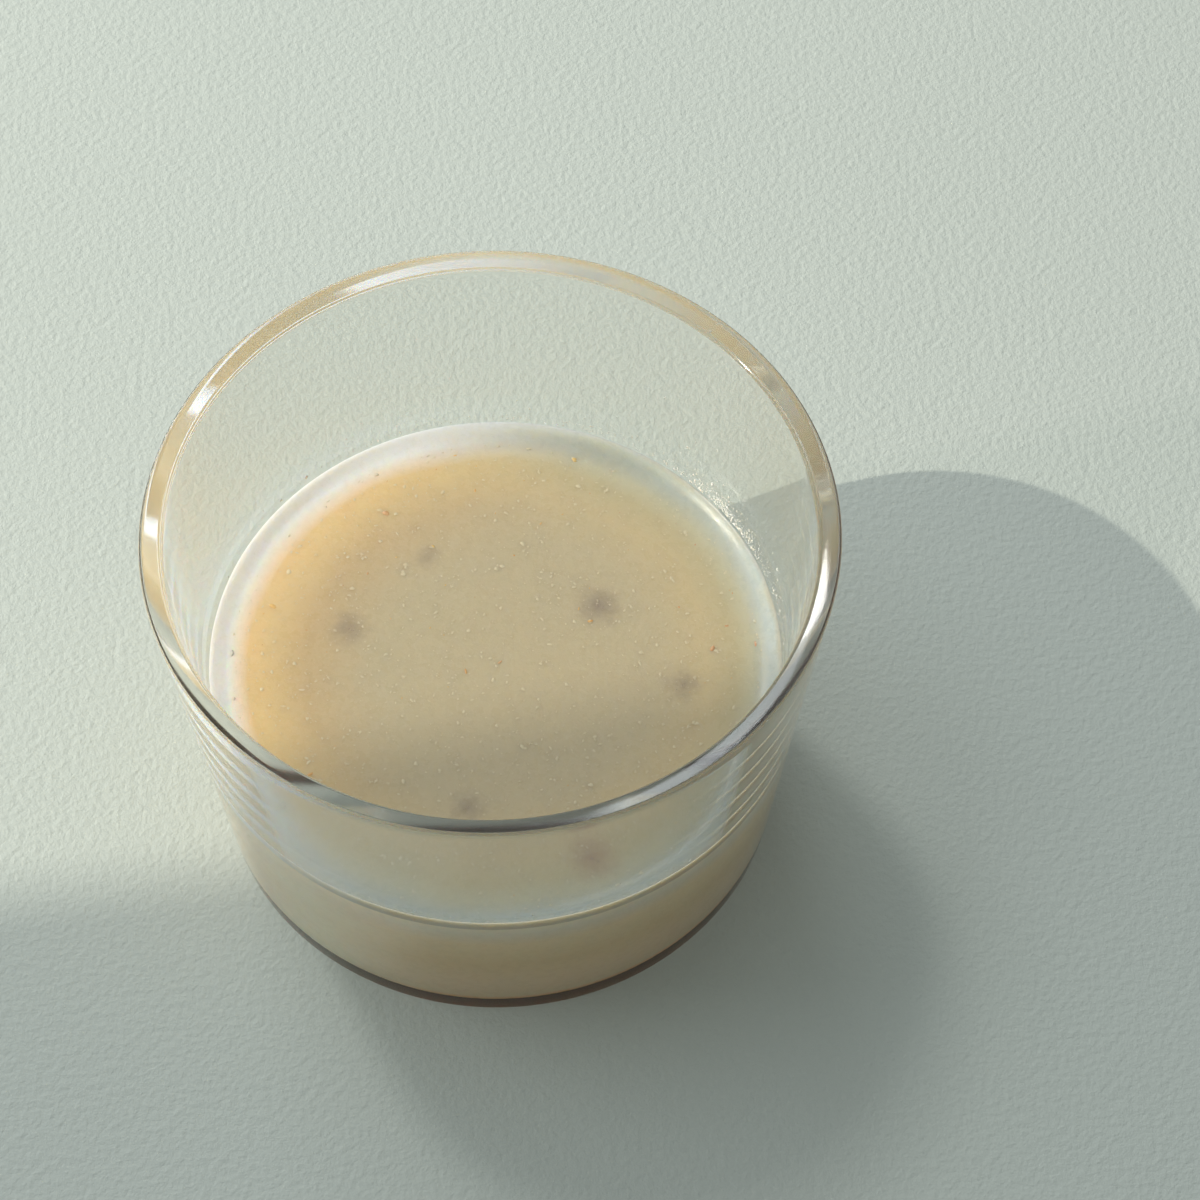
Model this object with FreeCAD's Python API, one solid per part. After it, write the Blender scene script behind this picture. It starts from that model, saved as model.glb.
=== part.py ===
import FreeCAD, Part
import math
import os

# A low, wide drinking glass, part filled with amazake. All sizes are in millimetres. +Z is up, and the
# origin is the centre of the foot, on the surface that the glass stands on.

# --- Driving dimensions ---------------------------------------------------------------------------

# the glass, outside
rim_diameter = 84.4         # across the mouth, before its edge is melted round
foot_diameter = 71.8        # across the foot, where the wall would meet the table if the heel were sharp
glass_height = 56.5         # table to the top of the rim

# the glass, its thicknesses
rim_wall = 2.6              # wall at the mouth
foot_wall = 3.3             # wall just above the floor
base_thickness = 1.7        # table to the floor inside

# the glass, its foot and its rounded edges
stand_ring_width = 4.0      # the flat ring that touches the table
recess_depth = 0.4          # how far the middle of the underside stands clear of the table
recess_slope = 3.0          # width of the gentle slope from the ring up to the middle
heel_radius = 1.6           # outside, between the wall and the ring
floor_corner_radius = 1.0   # inside, between the floor and the wall
rim_flat = 0.1              # what fire polishing leaves flat on top of the rim

# the drink
drink_depth = 24.0          # floor to the flat level
meniscus_radius = 4.0       # the surface curves up to the wall on this radius
meniscus_turn = 60.0        # degrees that it has turned through where it meets the wall

# --- Sizes that follow ----------------------------------------------------------------------------

rim_r = rim_diameter / 2
foot_r = foot_diameter / 2
ring_inner_r = foot_r - heel_radius - stand_ring_width
recess_r = ring_inner_r - recess_slope
rim_radius = (rim_wall - rim_flat) / 2
drink_level = base_thickness + drink_depth

CENTRE = FreeCAD.Vector(0, 0, 0)
UP = FreeCAD.Vector(0, 0, 1)
FULL_TURN = 360.0


# --- Outlines and shapes --------------------------------------------------------------------------

def at(r, z):
    """A point of the half section: r out from the axis, z above the table."""
    return FreeCAD.Vector(r, 0, z)


def path(*points):
    """Straight edges from each point to the next."""
    return [Part.LineSegment(a, b).toShape() for a, b in zip(points, points[1:])]


def turned(edges):
    """The solid that a closed half outline sweeps round the axis."""
    return Part.Face(Part.Wire(edges)).revolve(CENTRE, UP, FULL_TURN)


def outer_radius(z):
    """Outside of the wall at height z, a straight taper from the foot to the mouth."""
    return foot_r + (rim_r - foot_r) * z / glass_height


def inner_radius(z):
    """Inside of the wall at height z. The wall thins evenly from the floor to the mouth."""
    up = (z - base_thickness) / (glass_height - base_thickness)
    return outer_radius(z) - foot_wall - (rim_wall - foot_wall) * up


def ring_edge(solid, r, z):
    """The circular edge of a turned solid that lies nearest to radius r and height z."""
    rings = [e for e in solid.Edges if not e.Degenerated and isinstance(e.Curve, Part.Circle)]
    return min(rings, key=lambda e: math.hypot(e.Curve.Radius - r, e.Curve.Center.z - z))


def rounded(solid, radius, r, z):
    """The solid with one circular edge rounded off or filled in."""
    return solid.makeFillet(radius, [ring_edge(solid, r, z)])


# --- The glass ------------------------------------------------------------------------------------

def glass_body():
    """The outside as if there were no room in it: wall, rounded heel, stand ring and recessed underside."""
    body = turned(path(
        at(0, recess_depth),
        at(recess_r, recess_depth),
        at(ring_inner_r, 0),
        at(foot_r, 0),
        at(rim_r, glass_height),
        at(0, glass_height),
        at(0, recess_depth),
    ))
    return rounded(body, heel_radius, foot_r, 0)


def glass_cavity():
    """The room inside, from the floor to the mouth, with the corner where the floor turns into the wall."""
    room = turned(path(
        at(0, base_thickness),
        at(inner_radius(base_thickness), base_thickness),
        at(inner_radius(glass_height), glass_height),
        at(0, glass_height),
        at(0, base_thickness),
    ))
    return rounded(room, floor_corner_radius, inner_radius(base_thickness), base_thickness)


def glass_tumbler(cavity):
    """The body less its room, with the rim melted round on both sides."""
    tumbler = glass_body().cut(cavity)
    tumbler = rounded(tumbler, rim_radius, rim_r, glass_height)
    return rounded(tumbler, rim_radius, inner_radius(glass_height), glass_height)


# --- The drink ------------------------------------------------------------------------------------

def amazake(cavity):
    """The room up to the level, its surface drawn up the wall all round as a liquid that wets glass is."""
    turn = math.radians(meniscus_turn)
    z_contact = drink_level + meniscus_radius * (1 - math.cos(turn))
    r_flat = inner_radius(z_contact) - meniscus_radius * math.sin(turn)

    def on_meniscus(angle):
        rise = meniscus_radius * (1 - math.cos(angle))
        return at(r_flat + meniscus_radius * math.sin(angle), drink_level + rise)

    # the surface is drawn on a little past the wall, so that the room's own wall trims it
    past_wall = (turn + math.radians(90.0)) / 2
    top = on_meniscus(past_wall)
    surface = Part.Arc(on_meniscus(0), on_meniscus(past_wall / 2), top).toShape()
    below = turned([surface] + path(
        top,
        at(rim_diameter, top.z),
        at(rim_diameter, 0),
        at(0, 0),
        at(0, drink_level),
        on_meniscus(0),
    ))
    return cavity.common(below)


# --- The sub-parts, one file each -----------------------------------------------------------------

cavity = glass_cavity()
parts = {
    "glass_tumbler": glass_tumbler(cavity),
    "amazake": amazake(cavity),
}

os.makedirs("parts", exist_ok=True)
for name, shape in parts.items():
    solid = shape.Solids[0]
    box = solid.optimalBoundingBox()
    print(f"{name}: {len(shape.Solids)} solid, valid {shape.isValid()}, {solid.Volume / 1000:.1f} cm3, "
          f"z {box.ZMin:.2f} to {box.ZMax:.2f}, across {box.XLength:.2f}")
    solid.exportStep(f"parts/{name}.step")
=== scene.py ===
import math
import bmesh
import bpy
import numpy as np
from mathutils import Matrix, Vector


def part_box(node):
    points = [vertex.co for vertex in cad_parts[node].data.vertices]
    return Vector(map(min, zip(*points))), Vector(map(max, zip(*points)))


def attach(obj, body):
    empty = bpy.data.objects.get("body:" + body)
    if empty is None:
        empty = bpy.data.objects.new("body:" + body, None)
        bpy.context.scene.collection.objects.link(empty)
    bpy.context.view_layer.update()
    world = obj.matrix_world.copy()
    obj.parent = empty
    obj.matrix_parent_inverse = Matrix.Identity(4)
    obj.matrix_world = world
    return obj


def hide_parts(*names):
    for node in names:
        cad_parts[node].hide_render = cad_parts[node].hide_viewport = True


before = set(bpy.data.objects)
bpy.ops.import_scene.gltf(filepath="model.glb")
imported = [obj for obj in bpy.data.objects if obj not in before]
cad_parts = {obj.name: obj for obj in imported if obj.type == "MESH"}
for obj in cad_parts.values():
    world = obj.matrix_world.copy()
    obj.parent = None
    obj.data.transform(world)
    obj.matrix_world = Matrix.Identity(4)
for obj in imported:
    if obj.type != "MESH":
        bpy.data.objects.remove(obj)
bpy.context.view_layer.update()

# --- Camera ---------------------------------------------------------------------------------------
# The glass is looked down on from about half a metre, through a long lens, with the drink's surface
# open to view over the near side of the rim.
LOOK_DOWN = math.radians(57.15)
LOOK_RIGHT = math.radians(2.83)
camera_data = bpy.data.cameras.new("camera")
camera_data.sensor_width = 36.0
camera_data.lens = 119.3
camera = bpy.data.objects.new("camera", camera_data)
bpy.context.collection.objects.link(camera)
camera.location = (0.0, -0.2661, 0.4522)
camera.rotation_euler = (math.radians(90.0) - LOOK_DOWN, 0.0, -LOOK_RIGHT)
bpy.context.scene.camera = camera

# --- The glass ------------------------------------------------------------------------------------
# A low, wide tumbler of clear pressed glass, with a tapered wall that thins towards the mouth, a
# fire-polished rim and a foot ring round a slightly raised underside. It is turned about +Z.
MM = 0.001
TURN_STEPS = 192            # steps round the glass, fine enough for its edges to look round
_, glass_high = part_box("glass_tumbler")
drink_low, drink_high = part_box("amazake")
glass_height = glass_high.z
floor_height = drink_low.z


def wall_radius(node, height, from_inside):
    """Radius where a ray along X meets the CAD node's wall, from the axis or from far outside."""
    start = 0.0 if from_inside else 1.0
    way = 1.0 if from_inside else -1.0
    hit, place, _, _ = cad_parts[node].ray_cast(Vector((start, 0.0, height)), Vector((way, 0.0, 0.0)))
    if not hit:
        raise RuntimeError(f"{node} has no wall at height {height}")
    return place.x


def drawn_on(height, low, r_low, high, r_high):
    """Radius at a height on the straight line through two measured radii."""
    return r_low + (r_high - r_low) * (height - low) / (high - low)


# two heights on the straight part of the wall, clear of the heel, the floor corner and the rim
LOW_MARK = 8.0 * MM
HIGH_MARK = 48.0 * MM
outer_low = wall_radius("glass_tumbler", LOW_MARK, False)
outer_high = wall_radius("glass_tumbler", HIGH_MARK, False)
inner_low = wall_radius("amazake", LOW_MARK, True)
inner_high = wall_radius("glass_tumbler", HIGH_MARK, True)


def outer_r(height):
    return drawn_on(height, LOW_MARK, outer_low, HIGH_MARK, outer_high)


def inner_r(height):
    return drawn_on(height, LOW_MARK, inner_low, HIGH_MARK, inner_high)


def only(piece):
    """Makes one object the only one selected, and the active one."""
    bpy.ops.object.select_all(action="DESELECT")
    piece.select_set(True)
    bpy.context.view_layer.objects.active = piece


def editing(piece):
    """Edit mode with nothing selected."""
    only(piece)
    bpy.ops.object.mode_set(mode="EDIT")
    bpy.ops.mesh.select_all(action="DESELECT")


def smooth_outwards():
    """Turns every face of the piece in edit mode outwards, and ends with it smooth in object mode."""
    bpy.ops.mesh.select_all(action="SELECT")
    bpy.ops.mesh.normals_make_consistent(inside=False)
    bpy.ops.object.mode_set(mode="OBJECT")
    bpy.ops.object.shade_smooth()


def pick_ring(piece, radius, height, near=0.05 * MM):
    """Selects just the edges that run round at a radius and height."""
    bpy.ops.mesh.select_all(action="DESELECT")
    mesh = bmesh.from_edit_mesh(piece.data)
    bpy.ops.mesh.select_mode(type="EDGE")
    for edge in mesh.edges:
        ends = [(math.hypot(v.co.x, v.co.y), v.co.z) for v in edge.verts]
        if all(abs(r - radius) < near and abs(z - height) < near for r, z in ends):
            edge.select_set(True)
    mesh.select_flush_mode()
    bmesh.update_edit_mesh(piece.data)


def pick_cap(piece, height, near=0.01 * MM):
    """Selects just the flat faces that lie at a height."""
    bpy.ops.mesh.select_all(action="DESELECT")
    mesh = bmesh.from_edit_mesh(piece.data)
    bpy.ops.mesh.select_mode(type="FACE")
    for face in mesh.faces:
        if all(abs(v.co.z - height) < near for v in face.verts):
            face.select_set(True)
    bmesh.update_edit_mesh(piece.data)


def scale_picked(radius_from, radius_to, height):
    """Moves what is selected in or out from the axis."""
    k = radius_to / radius_from
    bpy.ops.transform.resize(value=(k, k, 1.0), center_override=(0.0, 0.0, height))


def cone_blank(name, low_r, high_r, low, high):
    """The blank that a turned piece starts from: a cut cone on the axis."""
    bpy.ops.mesh.primitive_cone_add(vertices=TURN_STEPS, radius1=low_r, radius2=high_r,
                                    depth=high - low, location=(0.0, 0.0, (high + low) / 2))
    blank = bpy.context.object
    blank.name = name
    only(blank)
    bpy.ops.object.transform_apply(location=True, rotation=True, scale=True)
    return blank


HEEL = 1.6 * MM
FLOOR_CORNER = 1.0 * MM
CROWN_DROP = 0.95 * MM      # the rim's crown slopes down this much towards the inside
RIM_OUTER_ROUND = 0.45 * MM
RIM_INNER_ROUND = 0.55 * MM
STAND_RING = 4.0 * MM
UNDERSIDE_SLOPE = 3.0 * MM
UNDERSIDE_RISE = 0.4 * MM
crown_low = glass_height - CROWN_DROP
rim_outer, rim_inner = outer_r(glass_height), inner_r(crown_low)
foot_outer, floor_outer = outer_r(0.0), inner_r(floor_height)
glass = cone_blank("drinking_glass", foot_outer, rim_outer, 0.0, glass_height)

# the room inside: the top is inset to the rim's inner edge, then pushed down to the floor
editing(glass)
pick_cap(glass, glass_height)
bpy.ops.mesh.inset(thickness=rim_outer - rim_inner)
down_to_floor = (0.0, 0.0, floor_height - glass_height)
bpy.ops.mesh.extrude_region_move(TRANSFORM_OT_translate={"value": down_to_floor})
scale_picked(rim_inner, floor_outer, floor_height)

# the crown of the rim, melted to a gentle slope: its inner edge is lowered
pick_ring(glass, rim_inner, glass_height)
bpy.ops.transform.translate(value=(0.0, 0.0, -CROWN_DROP))

# the underside: the stand ring, then a gentle slope up to the raised middle
pick_cap(glass, 0.0)
bpy.ops.mesh.inset(thickness=HEEL + STAND_RING)
bpy.ops.mesh.inset(thickness=UNDERSIDE_SLOPE)
bpy.ops.transform.translate(value=(0.0, 0.0, UNDERSIDE_RISE))

# the rounded edges
for radius, height, rounding, steps in (
    (rim_outer, glass_height, RIM_OUTER_ROUND, 6),
    (rim_inner, crown_low, RIM_INNER_ROUND, 6),
    (foot_outer, 0.0, HEEL, 10),
    (floor_outer, floor_height, FLOOR_CORNER, 6),
):
    pick_ring(glass, radius, height)
    bpy.ops.mesh.bevel(offset=rounding, segments=steps, affect="EDGES")

# a narrow ring inside the edge of each flat, so that smooth shading doesn't bend the flat itself
FLAT_MARGIN = 0.15 * MM
for height in (0.0, UNDERSIDE_RISE, floor_height):
    pick_cap(glass, height)
    bpy.ops.mesh.inset(thickness=FLAT_MARGIN)

# rows up the wall, closer together near its ends, for the same reason
ROWS = 14
FIRST_ROW = 3.6 * MM
LAST_ROW = glass_height - 2.4 * MM
for row in range(ROWS + 1):
    along = 0.5 - 0.5 * math.cos(math.pi * row / ROWS)
    height = FIRST_ROW + (LAST_ROW - FIRST_ROW) * along
    bpy.ops.mesh.select_all(action="SELECT")
    bpy.ops.mesh.bisect(plane_co=(0.0, 0.0, height), plane_no=(0.0, 0.0, 1.0))
smooth_outwards()


def new_finish(name, piece):
    """A new node material on the piece. Gives its tree, its main shader and its output."""
    finish = bpy.data.materials.new(name)
    finish.use_nodes = True
    piece.data.materials.append(finish)
    tree = finish.node_tree
    return tree, tree.nodes["Principled BSDF"], tree.nodes["Material Output"]


def put(socket, value):
    """Wires another node's output into a socket, or sets the socket to a plain value."""
    if isinstance(value, bpy.types.NodeSocket):
        socket.id_data.links.new(value, socket)
    else:
        socket.default_value = value


def add(tree, kind, settings=None, **sockets):
    """Adds a node. Its sockets are named with _ for each space in their names."""
    node = tree.nodes.new("ShaderNode" + kind)
    for name, value in (settings or {}).items():
        setattr(node, name, value)
    for name, value in sockets.items():
        put(node.inputs[name.replace("_", " ")], value)
    return node


def place_on(tree):
    """The place on the piece, in metres from the middle of the foot."""
    return add(tree, "TexCoord").outputs["Object"]


def height_of(tree, vector):
    """A vector's part along +Z."""
    return add(tree, "SeparateXYZ", Vector=vector).outputs["Z"]


def speckle(tree, place, size, detail=2.0, rough=0.5):
    """Soft noise from 0 to 1 whose patches are about the size given."""
    node = add(tree, "TexNoise", Vector=place, Scale=1.0 / size, Detail=detail, Roughness=rough)
    return node.outputs["Fac"]


def reckon(tree, operation, *values):
    """A sum on plain numbers."""
    node = add(tree, "Math", {"operation": operation})
    for socket, value in zip(node.inputs, values):
        put(socket, value)
    return node.outputs["Value"]


def spread(tree, value, low, high, new_low=0.0, new_high=1.0, smooth=True):
    """Turns low..high into new_low..new_high, and holds it there outside."""
    kind = "SMOOTHSTEP" if smooth else "LINEAR"
    node = add(tree, "MapRange", {"interpolation_type": kind}, Value=value, From_Min=low, From_Max=high,
               To_Min=new_low, To_Max=new_high)
    return node.outputs["Result"]


def shade(red, green, blue):
    """A colour as a paint chart gives it, 0 to 255, turned into the shader's own numbers."""
    parts = [c / 255.0 for c in (red, green, blue)]
    return tuple(c / 12.92 if c <= 0.04045 else ((c + 0.055) / 1.055) ** 2.4 for c in parts) + (1.0,)


def mixed(tree, share, first, second):
    """The first colour turned into the second by a share from 0 to 1."""
    node = add(tree, "Mix", {"data_type": "RGBA"})
    put(node.inputs["Factor"], share)
    put(node.inputs[6], first)
    put(node.inputs[7], second)
    return node.outputs[2]


def raised(tree, height, depth, strength):
    """A bump whose full height is depth metres, laid on by a strength from 0 to 1."""
    return add(tree, "Bump", Height=height, Distance=depth, Strength=strength).outputs["Normal"]


def let_light_by(tree, output, shader, share, tint=(1.0, 1.0, 1.0, 1.0)):
    """Lets a share of the light, from 0 to 1, straight through the piece, times the tint."""
    mix = add(tree, "MixShader", Fac=share)
    put(mix.inputs[1], shader.outputs["BSDF"])
    put(mix.inputs[2], add(tree, "BsdfTransparent", Color=tint).outputs["BSDF"])
    put(output.inputs["Surface"], mix.outputs["Shader"])


GLASS_FACE_ON = (0.985, 0.99, 0.98, 1.0)
GLASS_EDGE_ON = (0.93, 0.945, 0.92, 1.0)
SMUDGED = 0.035             # how rough the glass is where fingers touched it
FLAMED = 0.11               # and where the rim was melted round in a flame, a little softer than the wall
tree, shader, output = new_finish("clear_glass", glass)
place = place_on(tree)
facing = add(tree, "LayerWeight", Blend=0.35).outputs["Facing"]
put(shader.inputs["Base Color"], mixed(tree, facing, GLASS_FACE_ON, GLASS_EDGE_ON))
smudge = spread(tree, speckle(tree, place, 9 * MM, 4.0, 0.6), 0.62, 0.80, 0.0, SMUDGED)
flamed = spread(tree, height_of(tree, place), glass_height - 2.2 * MM, glass_height - 0.5 * MM, 0.0, FLAMED)
put(shader.inputs["Roughness"], reckon(tree, "ADD", smudge, flamed))
shader.inputs["IOR"].default_value = 1.48
shader.inputs["Transmission Weight"].default_value = 1.0
put(shader.inputs["Normal"], raised(tree, speckle(tree, place, 14 * MM, 1.0), 0.0005 * MM, 0.5))
# lamps shine through it without their light being gathered into spots
path_kind = add(tree, "LightPath").outputs
lamp_or_matt = reckon(tree, "MAXIMUM", path_kind["Is Shadow Ray"], path_kind["Is Diffuse Ray"])
let_light_by(tree, output, shader, lamp_or_matt, (0.965, 0.97, 0.965, 1.0))

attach(glass, "root")
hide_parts("glass_tumbler")

# --- The drink ------------------------------------------------------------------------------------
# Amazake, a thick milky drink of rice, poured to about half the glass's height. It wets the wall and
# curves up to it, and it reaches a hair into the glass so that no air shows between them.
INTO_WALL = 0.06 * MM
MENISCUS_R = 4.0 * MM
MENISCUS_TURN = math.radians(60.0)
MENISCUS_STEPS = 12
FLAT_RINGS = 24
contact_height = drink_high.z
level = contact_height - MENISCUS_R * (1 - math.cos(MENISCUS_TURN))
flat_r = inner_r(contact_height) - MENISCUS_R * math.sin(MENISCUS_TURN)
bottom_height = floor_height - INTO_WALL
bottom_r = inner_r(bottom_height) + INTO_WALL
edge_r = inner_r(contact_height) + INTO_WALL
drink = cone_blank("amazake_drink", bottom_r, edge_r, bottom_height, contact_height)

# the surface: rings drawn in and down along the meniscus, then in across the flat
editing(drink)
pick_cap(drink, contact_height)
ring_r, ring_z = edge_r, contact_height
for step in range(MENISCUS_STEPS, -1, -1):
    angle = MENISCUS_TURN * step / MENISCUS_STEPS
    next_r = flat_r + MENISCUS_R * math.sin(angle)
    next_z = level + MENISCUS_R * (1 - math.cos(angle))
    bpy.ops.mesh.inset(thickness=ring_r - next_r)
    bpy.ops.transform.translate(value=(0.0, 0.0, next_z - ring_z))
    ring_r, ring_z = next_r, next_z
for ring in range(FLAT_RINGS):
    bpy.ops.mesh.inset(thickness=flat_r / (FLAT_RINGS + 1))
pick_ring(drink, bottom_r, bottom_height)
bpy.ops.mesh.bevel(offset=FLOOR_CORNER, segments=6, affect="EDGES")
smooth_outwards()

# the surface's colours, from the middle out to the wall: beige, warmer, then a painted golden glow, a
# painted bluish sheen on the ring and a painted shade line at the contact
MIDDLE = shade(205, 190, 157)
TOWARDS_WALL = shade(213, 194, 154)
PAINTED_GOLD_GLOW = shade(206, 192, 154)
PAINTED_PALE_GLOW = shade(206, 200, 172)
PAINTED_RING_SHEEN = shade(179, 186, 181)
PAINTED_EDGE_SHADE = shade(182, 172, 150)
# the same as a painted glow, brighter, where low light glows through the edge
WARM_TOWARDS = shade(213, 184, 139)
BRIGHT_GOLD = shade(240, 208, 148)
BRIGHT_RING = shade(254, 252, 252)
# the side's painted light and shade, from the floor up, then painted darkening where it faces the low light
# and a painted glow at the front left
UNDERSIDE = shade(255, 176, 110)
LOW_SIDE = shade(236, 208, 172)
MID_SIDE = shade(228, 198, 150)
HIGH_SIDE = shade(240, 216, 170)
PALE_SIDE = shade(228, 222, 200)
PAINTED_DARKENING_TOWARDS_LIGHT = shade(160, 144, 112)
GLOW_SIDE = shade(255, 238, 208)
# what clouds and grains it
CLOUD = shade(205, 190, 152)
PALE_RICE = shade(222, 212, 184)
DARK_RICE = shade(138, 120, 112)
RED_RICE = shade(176, 132, 108)
LIGHT_FROM = (-0.91, 0.42)  # the way to the low light, at the left and a little behind

# clumps of dark rice skins that hang just under the surface: where they lie, how wide, how strong a
# stain each one makes, and whether it is a reddish one. Places and widths are in millimetres.
CLUMPS = [
    (-18.5, 6.2, 2.3, 0.46, False),
    (13.3, 8.0, 2.6, 0.56, False),
    (23.3, -4.3, 2.0, 0.44, False),
    (-4.2, -20.8, 2.0, 0.46, False),
    (10.6, -27.2, 2.6, 0.60, True),
    (-8.2, 16.7, 1.6, 0.28, False),
]


def stepped(tree, value, steps):
    """A run of colours along 0..1, from a list of places and colours."""
    node = add(tree, "ValToRGB", Fac=value)
    bar = node.color_ramp
    while len(bar.elements) < len(steps):
        bar.elements.new(0.5)
    for mark, (along, colour) in zip(bar.elements, steps):
        mark.position = along
        mark.color = colour
    return node.outputs["Color"]


def towards_light(tree, place):
    """How far a place lies from the axis towards the low light, in metres."""
    split = add(tree, "SeparateXYZ", Vector=place).outputs
    return reckon(tree, "ADD", reckon(tree, "MULTIPLY", split["X"], LIGHT_FROM[0]),
                  reckon(tree, "MULTIPLY", split["Y"], LIGHT_FROM[1]))


def surface_colour(tree, place, across, along, lit_side):
    """Beige in the middle, painted golden glow near the wall, painted sheen on the ring and shade at its
    edge.
    """
    from_axis = reckon(tree, "SQRT", reckon(tree, "ADD", reckon(tree, "MULTIPLY", across, across),
                                           reckon(tree, "MULTIPLY", along, along)))
    drift = reckon(tree, "SUBTRACT", speckle(tree, place, 10 * MM), 0.5)
    wandering = reckon(tree, "ADD", from_axis, reckon(tree, "MULTIPLY", drift, 1.2 * MM))
    outwards = spread(tree, wandering, 0.0, edge_r, smooth=False)
    plain = stepped(tree, outwards, [
        (0.0, MIDDLE), (0.55, MIDDLE), (0.74, TOWARDS_WALL), (0.84, PAINTED_GOLD_GLOW), (0.90, PAINTED_PALE_GLOW),
        (0.96, PAINTED_RING_SHEEN), (0.985, PAINTED_RING_SHEEN), (1.0, PAINTED_EDGE_SHADE)])
    glow = stepped(tree, outwards, [
        (0.0, MIDDLE), (0.40, MIDDLE), (0.66, WARM_TOWARDS), (0.83, BRIGHT_GOLD), (0.87, BRIGHT_GOLD),
        (0.95, BRIGHT_RING), (1.0, BRIGHT_RING)])
    # the painted glow is laid on towards the low light
    return mixed(tree, spread(tree, lit_side, -0.10 * edge_r, 0.85 * edge_r), plain, glow)


def side_colour(tree, across, along, height, lit_side):
    """Painted shade and glow: warm at the floor, paler towards the surface, darker where it faces the low
    light.
    """
    up_side = spread(tree, height, bottom_height, level, smooth=False)
    side = stepped(tree, up_side, [
        (0.0, UNDERSIDE), (0.02, UNDERSIDE), (0.06, LOW_SIDE), (0.22, LOW_SIDE), (0.50, MID_SIDE),
        (0.78, HIGH_SIDE), (0.93, PALE_SIDE), (1.0, PALE_SIDE)])
    # painted darkening on the side that faces the low light
    side = mixed(tree, spread(tree, lit_side, 0.35 * edge_r, 0.75 * edge_r, 0.0, 0.85), side, PAINTED_DARKENING_TOWARDS_LIGHT)
    # a painted glow on the side at the front left
    front_left = reckon(tree, "MULTIPLY", spread(tree, across, -0.15 * edge_r, -0.65 * edge_r),
                        spread(tree, along, -0.2 * edge_r, -0.7 * edge_r))
    return mixed(tree, reckon(tree, "MULTIPLY", front_left, 0.8), side, GLOW_SIDE)


def rice_colour(tree, place):
    """The drink's colour all over: surface and side with painted glow and shade, clouds, grain, stains round
    clumps.
    """
    across, along, height = add(tree, "SeparateXYZ", Vector=place).outputs
    lit_side = towards_light(tree, place)
    on_side = spread(tree, height, level - 0.3 * MM, level - 0.02 * MM, 1.0, 0.0)
    colour = mixed(tree, on_side, surface_colour(tree, place, across, along, lit_side),
                   side_colour(tree, across, along, height, lit_side))
    cloud = spread(tree, speckle(tree, place, 5 * MM, 3.0), 0.35, 0.70)
    colour = mixed(tree, reckon(tree, "MULTIPLY", cloud, 0.10), colour, CLOUD)
    grain = spread(tree, speckle(tree, place, 0.7 * MM, 3.0, 0.7), 0.50, 0.75)
    colour = mixed(tree, reckon(tree, "MULTIPLY", grain, 0.16), colour, PALE_RICE)
    tatters = reckon(tree, "SUBTRACT", speckle(tree, place, 1.4 * MM, 4.0, 0.7), 0.5)
    ragged = reckon(tree, "MULTIPLY", tatters, 3.6 * MM)
    for x, y, width, strength, reddish in CLUMPS:
        apart = add(tree, "VectorMath", {"operation": "DISTANCE"})
        put(apart.inputs[0], place)
        put(apart.inputs[1], (x * MM, y * MM, level))
        reach = reckon(tree, "ADD", apart.outputs["Value"], ragged)
        stain = spread(tree, reach, -0.4 * MM, 1.6 * width * MM, strength, 0.0)
        colour = mixed(tree, stain, colour, RED_RICE if reddish else DARK_RICE)
    return colour


tree, shader, output = new_finish("milky_rice_drink", drink)
place = place_on(tree)
put(shader.inputs["Base Color"], rice_colour(tree, place))
put(shader.inputs["Roughness"], spread(tree, speckle(tree, place, 1.2 * MM, 3.0), 0.3, 0.7, 0.22, 0.36))
shader.inputs["IOR"].default_value = 1.35
shader.inputs["Subsurface Weight"].default_value = 1.0
shader.inputs["Subsurface Radius"].default_value = (1.0, 0.80, 0.55)
shader.inputs["Subsurface Scale"].default_value = 3.5 * MM

# the curved-up edge is so thin that light from the left fills it as if it lay nearly flat
true_facing = add(tree, "NewGeometry").outputs["Normal"]
on_lit_side = spread(tree, towards_light(tree, place), 0.1 * edge_r, 0.7 * edge_r, 0.0, 0.65)
filled = reckon(tree, "MULTIPLY", on_lit_side, spread(tree, height_of(tree, true_facing), 0.25, 0.45))
eased = add(tree, "Mix", {"data_type": "VECTOR"})
put(eased.inputs["Factor"], filled)
put(eased.inputs[4], true_facing)
put(eased.inputs[5], (0.0, 0.0, 1.0))
flattened = add(tree, "VectorMath", {"operation": "NORMALIZE"})
put(flattened.inputs[0], eased.outputs[1])
ripple = reckon(tree, "ADD", speckle(tree, place, 0.45 * MM, 3.0, 0.6),
                reckon(tree, "MULTIPLY", speckle(tree, place, 4 * MM), 1.5))
relief = add(tree, "Bump", Height=ripple, Distance=0.05 * MM, Strength=0.5,
             Normal=flattened.outputs["Vector"])
put(shader.inputs["Normal"], relief.outputs["Normal"])

# that edge also lets the low light by, so that it casts no shadow on the drink
thin = spread(tree, height_of(tree, place), level + 0.05 * MM, level + 0.4 * MM)
let_light_by(tree, output, shader, add(tree, "LightPath").outputs["Is Shadow Ray"], thin)

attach(drink, "root")
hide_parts("amazake")

# --- Rice bits ------------------------------------------------------------------------------------
# Soft broken grains of rice that float in the drink. Each is a small pale lens, most of it sunk, so
# that only its top breaks the surface. They are all one piece.
BIT_COUNT = 2300
pick = np.random.default_rng(41)


def joined(name, all_corners, all_faces):
    """One piece from lists of corners and faces, with smooth shading."""
    mesh = bpy.data.meshes.new(name)
    mesh.from_pydata(np.concatenate(all_corners).tolist(), [], all_faces)
    mesh.update()
    mesh.shade_smooth()
    piece = bpy.data.objects.new(name, mesh)
    bpy.context.collection.objects.link(piece)
    return piece


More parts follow.
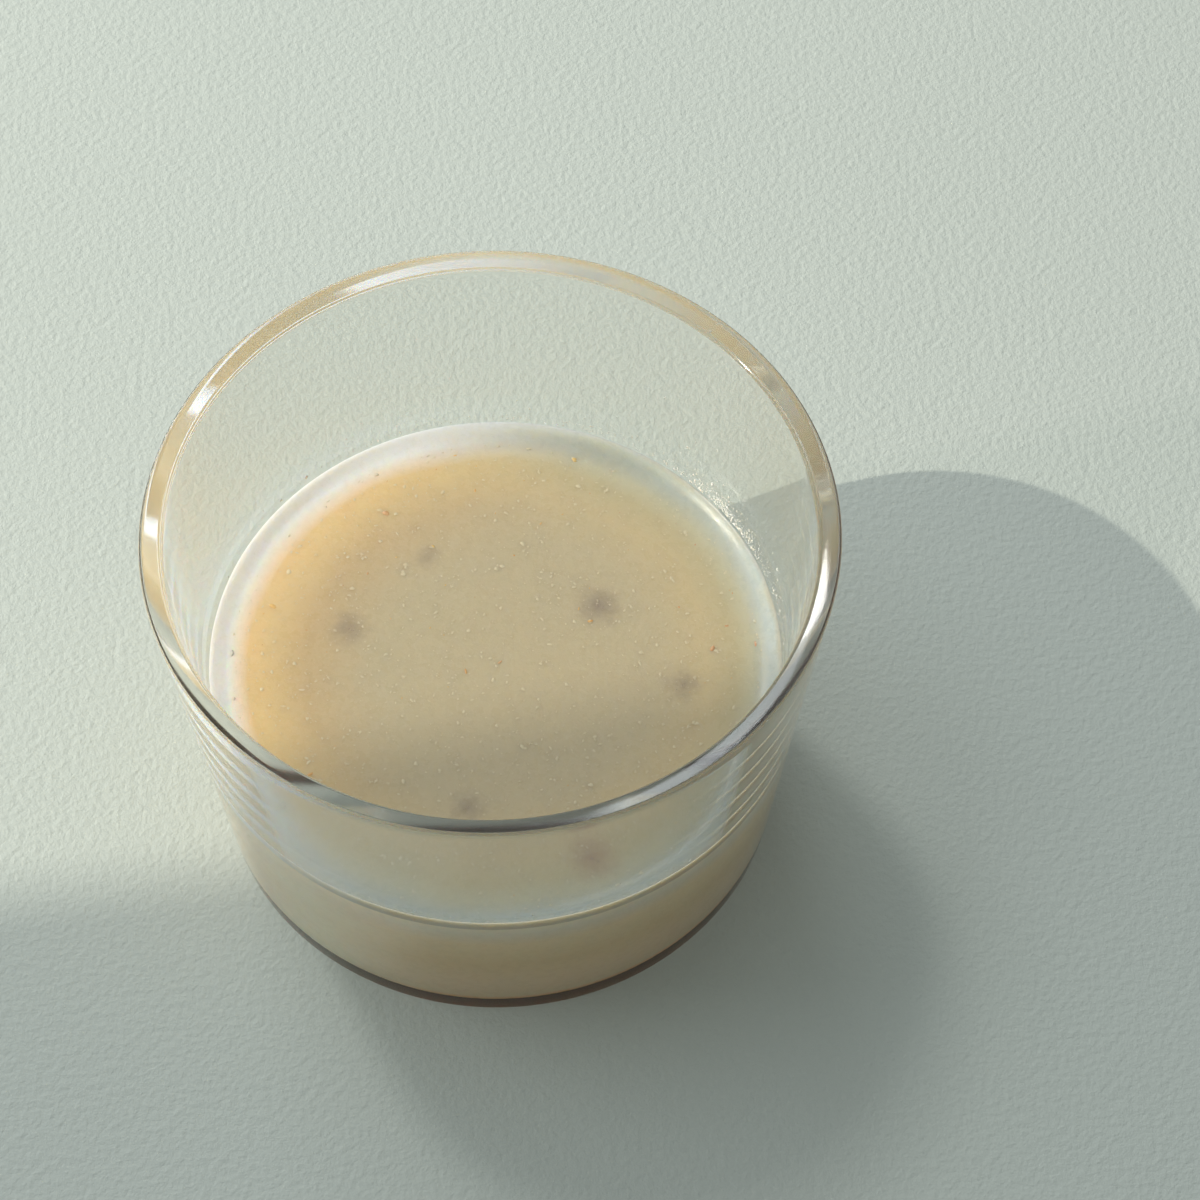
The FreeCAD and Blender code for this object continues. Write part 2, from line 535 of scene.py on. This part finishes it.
def lens_shape(around, across, lumps, seed):
    """A closed round lens of radius 1, pressed out of true, as its corners and its faces' corners."""
    bpy.ops.object.select_all(action="DESELECT")
    bpy.ops.mesh.primitive_uv_sphere_add(segments=around, ring_count=across, radius=1.0)
    ball = bpy.context.object
    corners = np.array([v.co[:] for v in ball.data.vertices])
    rings = [tuple(face.vertices) for face in ball.data.polygons]
    bpy.data.objects.remove(ball)
    dents = np.random.default_rng(seed).normal(0.0, lumps, len(corners))
    return corners * (1.0 + dents[:, None]), rings


def scattered(name, shape, places, turns, sizes):
    """Joins copies of a small shape into one piece, each scaled, turned about +Z and moved."""
    corners, rings = shape
    all_corners, all_faces = [], []
    for place, turn, size in zip(places, turns, sizes):
        first = len(all_corners) * len(corners)
        c, s = math.cos(turn), math.sin(turn)
        spun = np.array([[c, -s, 0.0], [s, c, 0.0], [0.0, 0.0, 1.0]])
        all_corners.append((corners * size) @ spun.T + place)
        all_faces.extend(tuple(first + corner for corner in ring) for ring in rings)
    return joined(name, all_corners, all_faces)


def over_surface(count, widest):
    """Even random places on the drink, out to a radius."""
    out = widest * np.sqrt(pick.random(count))
    turn = 2 * math.pi * pick.random(count)
    return np.stack([out * np.cos(turn), out * np.sin(turn)], axis=1)


def surface_height(spots):
    """Height of the drink's surface over places on it, flat and then up the meniscus."""
    past_flat = np.hypot(spots[:, 0], spots[:, 1]).clip(flat_r) - flat_r
    return level + MENISCUS_R - np.sqrt(MENISCUS_R**2 - past_flat**2)


spots = over_surface(BIT_COUNT, flat_r + 1.2 * MM)
lengths = pick.gamma(5.0, 0.045, BIT_COUNT).clip(0.10, 0.60) * MM    # from the middle to an end
widths = lengths * pick.uniform(0.35, 0.80, BIT_COUNT)
heights = widths * 0.14
rise = heights * pick.uniform(0.20, 0.40, BIT_COUNT)                 # how much of its top shows
places = np.column_stack([spots, surface_height(spots) - heights + rise])
turns = pick.uniform(0.0, 2 * math.pi, BIT_COUNT)
sizes = np.column_stack([lengths, widths, heights])
rice_bits = scattered("rice_bits", lens_shape(8, 4, 0.05, 3), places, turns, sizes)

WET_RICE = shade(226, 214, 184)
tree, shader, output = new_finish("soft_rice", rice_bits)
place = place_on(tree)
whiter = spread(tree, speckle(tree, place, 1.1 * MM, 1.0), 0.3, 0.75, 0.25, 0.75)
put(shader.inputs["Base Color"], mixed(tree, whiter, rice_colour(tree, place), WET_RICE))
put(shader.inputs["Roughness"], spread(tree, speckle(tree, place, 0.5 * MM), 0.3, 0.7, 0.25, 0.45))
shader.inputs["IOR"].default_value = 1.36
put(shader.inputs["Normal"], raised(tree, speckle(tree, place, 0.2 * MM), 0.01 * MM, 0.5))
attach(rice_bits, "root")

# --- Bran flecks ----------------------------------------------------------------------------------
# Specks of red and golden rice bran. The larger ones lie where they are seen, each at its own angle,
# and a few dozen fine ones are spread between them.
FLECKS = [  # across and along in millimetres, half its length, and the angle it lies at in degrees
    (0.5, 0.3, 0.525, 40), (-3.9, -0.9, 0.625, 100), (27.4, 1.0, 0.6875, 70), (29.5, 4.3, 0.425, 10),
    (11.2, 31.1, 0.75, 120), (-1.8, 26.7, 0.425, 90), (-13.5, 23.6, 0.725, 160), (-28.2, 10.0, 0.825, 150),
    (-23.6, -14.9, 0.575, 30), (10.8, 7.8, 0.45, 80), (12.2, 5.9, 0.55, 15), (6.5, 21.1, 0.375, 60),
    (33.0, 1.4, 0.6875, 95), (-4.2, 32.4, 0.425, 20), (-16.0, 14.5, 0.325, 75), (-7.5, 18.2, 0.375, 140),
]
FINE_FLECKS = 46
seen = np.array(FLECKS)
fine_spots = over_surface(FINE_FLECKS, flat_r)
spots = np.concatenate([seen[:, :2] * MM, fine_spots])
lengths = np.concatenate([seen[:, 2], pick.uniform(0.13, 0.26, FINE_FLECKS)]) * MM
widths = lengths * pick.uniform(0.35, 0.70, len(lengths))
heights = widths * 0.2
turns = np.concatenate([np.radians(seen[:, 3]), pick.uniform(0.0, math.pi, FINE_FLECKS)])
places = np.column_stack([spots, surface_height(spots) - heights * 0.7])
sizes = np.column_stack([lengths, widths, heights])
bran_flecks = scattered("bran_flecks", lens_shape(7, 4, 0.16, 8), places, turns, sizes)

RED_BRAN = shade(206, 146, 104)
ORANGE_BRAN = shade(222, 164, 98)
YELLOW_BRAN = shade(232, 192, 104)
tree, shader, output = new_finish("bran", bran_flecks)
place = place_on(tree)
sort = speckle(tree, place, 14 * MM, 0.0)
bran_colour = stepped(tree, spread(tree, sort, 0.3, 0.7), [
    (0.0, RED_BRAN), (0.45, ORANGE_BRAN), (1.0, YELLOW_BRAN)])
worn = spread(tree, speckle(tree, place, 0.3 * MM), 0.35, 0.75, 0.05, 0.4)
put(shader.inputs["Base Color"], mixed(tree, worn, bran_colour, rice_colour(tree, place)))
put(shader.inputs["Roughness"], spread(tree, speckle(tree, place, 0.2 * MM), 0.3, 0.7, 0.3, 0.5))
put(shader.inputs["Normal"], raised(tree, speckle(tree, place, 0.1 * MM), 0.01 * MM, 0.6))
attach(bran_flecks, "root")

# --- Dark rice clumps -----------------------------------------------------------------------------
# Knots of darker rice skins, soaked soft and hanging at the surface. The stain round each is in the
# drink's own colour; these are the crumbs of its heart, a few lumps to a knot.
CRUMBS_PER_CLUMP = 9
DARK_SKIN = shade(150, 126, 112)
spots, lengths = [], []
for x, y, width, strength, reddish in CLUMPS:
    for crumb in range(CRUMBS_PER_CLUMP):
        away = abs(pick.normal(0.0, 0.32)) * width
        turn = pick.uniform(0.0, 2 * math.pi)
        spots.append([(x + away * math.cos(turn)) * MM, (y + 0.7 * away * math.sin(turn)) * MM])
        lengths.append(pick.uniform(0.22, 0.50) * strength * MM)
spots, lengths = np.array(spots), np.array(lengths)
widths = lengths * pick.uniform(0.5, 0.9, len(lengths))
heights = widths * 0.2
places = np.column_stack([spots, np.full(len(spots), level) - heights * 0.75])
turns = pick.uniform(0.0, math.pi, len(lengths))
sizes = np.column_stack([lengths, widths, heights])
dark_clumps = scattered("dark_rice_clumps", lens_shape(9, 6, 0.13, 15), places, turns, sizes)

tree, shader, output = new_finish("dark_rice_skin", dark_clumps)
place = place_on(tree)
soaked = spread(tree, speckle(tree, place, 0.6 * MM, 3.0), 0.3, 0.75, 0.35, 0.9)
put(shader.inputs["Base Color"], mixed(tree, soaked, DARK_SKIN, rice_colour(tree, place)))
put(shader.inputs["Roughness"], spread(tree, speckle(tree, place, 0.4 * MM), 0.3, 0.7, 0.25, 0.45))
put(shader.inputs["Normal"], raised(tree, speckle(tree, place, 0.15 * MM), 0.02 * MM, 0.5))
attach(dark_clumps, "root")

# --- Drops on the wall ----------------------------------------------------------------------------
# Fine drops left where the drink washed up the inside of the glass. They are thickest just above the
# drink at the back right, and each is a shallow dome that sits on the wall.
WALL_SLOPE = math.atan2(inner_high - inner_low, HIGH_MARK - LOW_MARK)
HIGHEST_DROP = 18 * MM
DROP_GROUPS = [  # how many, middle and spread of azimuth in degrees, height from and spread, size in mm
    (300, 33.0, 7.0, 0.5, 0.8, 0.085),
    (180, 20.0, 9.0, 0.6, 1.2, 0.07),
    (150, 58.0, 14.0, 0.5, 0.8, 0.065),
    (90, 30.0, 16.0, 1.2, 2.8, 0.075),
    (50, 95.0, 25.0, 0.5, 1.0, 0.07),
    (36, 150.0, 40.0, 0.5, 1.2, 0.07),
    (60, 265.0, 55.0, 0.4, 1.4, 0.075),
]
LARGE_DROPS = [  # azimuth in degrees, then height over the drink's edge and size in mm
    (130.5, 1.4, 0.26), (137.8, 1.1, 0.22), (38.0, 3.4, 0.24), (12.0, 5.5, 0.20),
]


def wall_frame(azimuth, height):
    """A place on the inner wall, with the ways round the wall, up it, and in from it."""
    c, s = math.cos(azimuth), math.sin(azimuth)
    radius = inner_r(height)
    up_r, up_z = math.sin(WALL_SLOPE), math.cos(WALL_SLOPE)
    return (np.array([radius * c, radius * s, height]), np.array([-s, c, 0.0]),
            np.array([up_r * c, up_r * s, up_z]), np.array([-up_z * c, -up_z * s, up_r]))


def drop_places():
    """Azimuth, height over the drink's edge and radius of each drop, group by group."""
    for count, middle, width, low, rise, size in DROP_GROUPS:
        for drop in range(count):
            azimuth = math.radians(pick.normal(middle, width))
            above = low * MM + pick.exponential(rise * MM)
            yield azimuth, above, size * pick.lognormal(0.0, 0.35) * MM
    for azimuth, above, size in LARGE_DROPS:
        yield math.radians(azimuth), above * MM, size * MM


corners, rings = lens_shape(10, 6, 0.03, 21)
all_corners, all_faces = [], []
for azimuth, above, size in drop_places():
    if above > HIGHEST_DROP:
        continue
    first = len(all_corners) * len(corners)
    spot, round_wall, up_wall, inward = wall_frame(azimuth, contact_height + above)
    tall = pick.uniform(0.9, 1.5)
    shaped = corners * (size, size * tall, size * 0.45)
    all_corners.append(spot + shaped[:, :1] * round_wall + shaped[:, 1:2] * up_wall + shaped[:, 2:] * inward)
    all_faces.extend(tuple(first + corner for corner in ring) for ring in rings)
wall_drops = joined("drops_on_wall", all_corners, all_faces)

CLEAR_DROP = (0.97, 0.97, 0.94, 1.0)
MILKY_DROP = (0.90, 0.88, 0.80, 1.0)
tree, shader, output = new_finish("milky_drop", wall_drops)
place = place_on(tree)
milk = spread(tree, speckle(tree, place, 2 * MM), 0.35, 0.7)
put(shader.inputs["Base Color"], mixed(tree, milk, CLEAR_DROP, MILKY_DROP))
put(shader.inputs["Roughness"], spread(tree, milk, 0.0, 1.0, 0.02, 0.12))
shader.inputs["IOR"].default_value = 1.34
shader.inputs["Transmission Weight"].default_value = 0.3
put(shader.inputs["Normal"], raised(tree, speckle(tree, place, 0.15 * MM), 0.004 * MM, 0.5))
let_light_by(tree, output, shader, add(tree, "LightPath").outputs["Is Shadow Ray"])
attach(wall_drops, "root")

# --- Tide marks -----------------------------------------------------------------------------------
# Thin films of drink that dried in rings as it ran back down the wall. Each is a long strip a hair
# thick, widest in its middle, that wavers a little as it follows the wall round.
TIDE_LENGTHS = 72
TIDE_WIDTHS = 4
FILM = 0.02 * MM
OFF_WALL = 0.005 * MM
TIDES = [  # height over the drink's edge, azimuth from and to, widest
    (2.4, -66.0, 27.0, 1.7),
    (5.6, -60.0, 26.0, 1.5),
    (8.9, -62.0, 27.0, 1.8),
    (12.3, -58.0, 25.0, 1.6),
    (15.8, -60.0, 26.0, 1.8),
    (19.3, -50.0, 24.0, 1.7),
    (22.8, -46.0, 21.0, 1.6),
    (1.3, -100.0, -62.0, 1.1),
    (2.6, -92.0, -60.0, 1.1),
]


def tide_strip(above, azimuth_from, azimuth_to, widest):
    """The corners of one strip, its faces, and how far along and across it each corner is."""
    corners, faces, measures = [], [], []
    phase = pick.uniform(0.0, 2 * math.pi)
    for step in range(TIDE_LENGTHS + 1):
        along = 2.0 * step / TIDE_LENGTHS - 1.0
        azimuth = math.radians(azimuth_from + (azimuth_to - azimuth_from) * step / TIDE_LENGTHS)
        waver = 0.08 * math.sin(2.0 * along + phase) + 0.02 * math.sin(9.0 * along + 2 * phase)
        width = widest * MM * (1.0 - along * along) ** 0.3 + 0.01 * MM
        for row in range(TIDE_WIDTHS + 1):
            height = contact_height + (above + waver) * MM + width * (row / TIDE_WIDTHS - 0.5)
            spot, _, _, inward = wall_frame(azimuth, height)
            corners.append(spot + inward * OFF_WALL)
            measures.append((step / TIDE_LENGTHS, row / TIDE_WIDTHS))
    rows = TIDE_WIDTHS + 1
    for step in range(TIDE_LENGTHS):
        for row in range(TIDE_WIDTHS):
            first = step * rows + row
            faces.append((first, first + 1, first + rows + 1, first + rows))
    return np.array(corners), faces, measures


all_corners, all_faces, all_measures = [], [], []
for mark in TIDES:
    corners, faces, measures = tide_strip(*mark)
    first = len(all_measures)
    all_corners.append(corners)
    all_measures.extend(measures)
    all_faces.extend(tuple(first + corner for corner in ring) for ring in faces)
tide = joined("tide_marks", all_corners, all_faces)
strip_map = tide.data.uv_layers.new(name="strip")
for loop in tide.data.loops:
    strip_map.data[loop.index].uv = all_measures[loop.vertex_index]
only(tide)
bpy.ops.object.modifier_add(type="SOLIDIFY")
tide.modifiers["Solidify"].thickness = FILM
tide.modifiers["Solidify"].offset = 1.0
bpy.ops.object.modifier_apply(modifier="Solidify")

WHITE_FILM = shade(240, 238, 226)
CREAM_FILM = shade(222, 218, 200)
tree, shader, output = new_finish("dried_film", tide)
place = place_on(tree)
streaks = add(tree, "Mapping", Vector=place, Scale=(1.0, 1.0, 5.0)).outputs["Vector"]
patchy = speckle(tree, streaks, 4 * MM, 3.0, 0.55)
put(shader.inputs["Base Color"], mixed(tree, patchy, WHITE_FILM, CREAM_FILM))
put(shader.inputs["Roughness"], spread(tree, patchy, 0.3, 0.7, 0.5, 0.75))
shader.inputs["Specular IOR Level"].default_value = 0.15
put(shader.inputs["Normal"], raised(tree, patchy, 0.0015 * MM, 0.4))
# the film fades out at both its ends and both its sides
strip = add(tree, "SeparateXYZ", Vector=add(tree, "UVMap", {"uv_map": "strip"}).outputs["UV"])
faded = 1.0
for along_strip in strip.outputs[:2]:
    from_middle = reckon(tree, "ABSOLUTE", reckon(tree, "SUBTRACT", along_strip, 0.5))
    faded = reckon(tree, "MULTIPLY", faded, spread(tree, from_middle, 0.05, 0.5, 1.0, 0.0))
body = reckon(tree, "MULTIPLY", faded, spread(tree, patchy, 0.30, 0.70, 0.035, 0.07))
thinness = reckon(tree, "SUBTRACT", 1.0, body)
thinness = reckon(tree, "MAXIMUM", thinness, add(tree, "LightPath").outputs["Is Shadow Ray"])
let_light_by(tree, output, shader, thinness)
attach(tide, "root")

# --- The table top and the light ------------------------------------------------------------------
# A plain pale painted surface under the glass. It isn't part of the object. A wide window and the
# pale room light it softly, and low sunlight comes from the left.
DULL_PAINT = (0.60, 0.655, 0.61, 1.0)
FRESH_PAINT = (0.63, 0.685, 0.64, 1.0)
bpy.ops.mesh.primitive_plane_add(size=6.0, location=(0.0, 0.0, -0.05 * MM))
table_top = bpy.context.object
table_top.name = "table_top"
only(table_top)
bpy.ops.object.transform_apply(location=True, rotation=True, scale=True)
tree, shader, output = new_finish("pale_paint", table_top)
place = place_on(tree)
put(shader.inputs["Base Color"], mixed(tree, speckle(tree, place, 60 * MM, 4.0), DULL_PAINT, FRESH_PAINT))
shader.inputs["Roughness"].default_value = 0.85
shader.inputs["Specular IOR Level"].default_value = 0.15
put(shader.inputs["Normal"], raised(tree, speckle(tree, place, 1.1 * MM, 4.0, 0.6), 0.24 * MM, 0.9))


def lamp_at(name, kind, azimuth, elevation, distance, watts, colour):
    """A lamp that faces the glass. Azimuth is counted from +X towards +Y."""
    lamp_data = bpy.data.lights.new(name, kind)
    lamp_data.energy = watts
    lamp_data.color = colour
    lamp = bpy.data.objects.new(name, lamp_data)
    bpy.context.collection.objects.link(lamp)
    a, e = math.radians(azimuth), math.radians(elevation)
    toward = Vector((math.cos(a) * math.cos(e), math.sin(a) * math.cos(e), math.sin(e)))
    lamp.location = toward * distance
    lamp.rotation_euler = (-toward).to_track_quat("-Z", "Y").to_euler()
    return lamp


for name, azimuth, elevation, distance, width, depth, watts, colour in (
    ("back_window", 114.0, 30.0, 1.6, 0.95, 0.32, 5.2, (0.88, 0.95, 1.0)),
    ("bright_pane", 122.0, 36.0, 1.6, 0.20, 0.30, 4.8, (1.0, 0.98, 0.94)),
    ("side_window", 163.0, 33.0, 1.8, 1.2, 0.8, 6.4, (0.94, 0.98, 1.0)),
    ("ceiling", 130.0, 64.0, 1.8, 1.6, 1.4, 3.4, (0.95, 0.98, 1.0)),
):
    pane = lamp_at(name, "AREA", azimuth, elevation, distance, watts, colour)
    pane.data.shape = "RECTANGLE"
    pane.data.size = width
    pane.data.size_y = depth

# low sunlight, which ends at the window's edge and leaves the front of the glass in shade
SUN_AZIMUTH = 187.0
SUN_ELEVATION = 24.0
SUN_DISTANCE = 1.8
POOL_RADIUS = 250 * MM
SHADE_EDGE = 10 * MM        # how far in front of the axis the sunlight ends
low_sun = lamp_at("low_sun", "SPOT", SUN_AZIMUTH, SUN_ELEVATION, SUN_DISTANCE, 103.0, (1.0, 0.93, 0.80))
low_sun.data.shadow_soft_size = 0.006
low_sun.data.spot_size = 2 * math.atan(POOL_RADIUS / SUN_DISTANCE)
low_sun.data.spot_blend = 0.003
turn = math.radians(SUN_AZIMUTH - 180.0)
aim = Vector((-math.sin(turn), math.cos(turn), 0.0)) * (POOL_RADIUS - SHADE_EDGE)
low_sun.rotation_euler = (aim - low_sun.location).to_track_quat("-Z", "Y").to_euler()

# the room gives a soft light of its own, and shows as a pale wall wherever it is seen
world = bpy.data.worlds.new("room")
bpy.context.scene.world = world
world.use_nodes = True
tree = world.node_tree
room_light = tree.nodes["Background"]
room_light.inputs["Color"].default_value = (0.93, 1.0, 0.98, 1.0)
room_light.inputs["Strength"].default_value = 0.24
pale_wall = add(tree, "Background", Color=(0.94, 1.0, 0.96, 1.0), Strength=0.62)
ray = add(tree, "LightPath").outputs
seen_or_mirrored = reckon(tree, "MAXIMUM", ray["Is Camera Ray"], ray["Is Glossy Ray"])
backdrop = add(tree, "MixShader", Fac=reckon(tree, "MAXIMUM", seen_or_mirrored, ray["Is Transmission Ray"]))
put(backdrop.inputs[1], room_light.outputs["Background"])
put(backdrop.inputs[2], pale_wall.outputs["Background"])
put(tree.nodes["World Output"].inputs["Surface"], backdrop.outputs["Shader"])
bpy.context.scene.view_settings.view_transform = "Standard"

# light that runs round inside the rim and the foot is followed until it comes out, and matt light,
# which soon fades, only twice
cycles = bpy.context.scene.cycles
cycles.max_bounces = 22
cycles.diffuse_bounces = 2
cycles.glossy_bounces = 20
cycles.transmission_bounces = 20
cycles.transparent_max_bounces = 24
cycles.use_light_tree = False
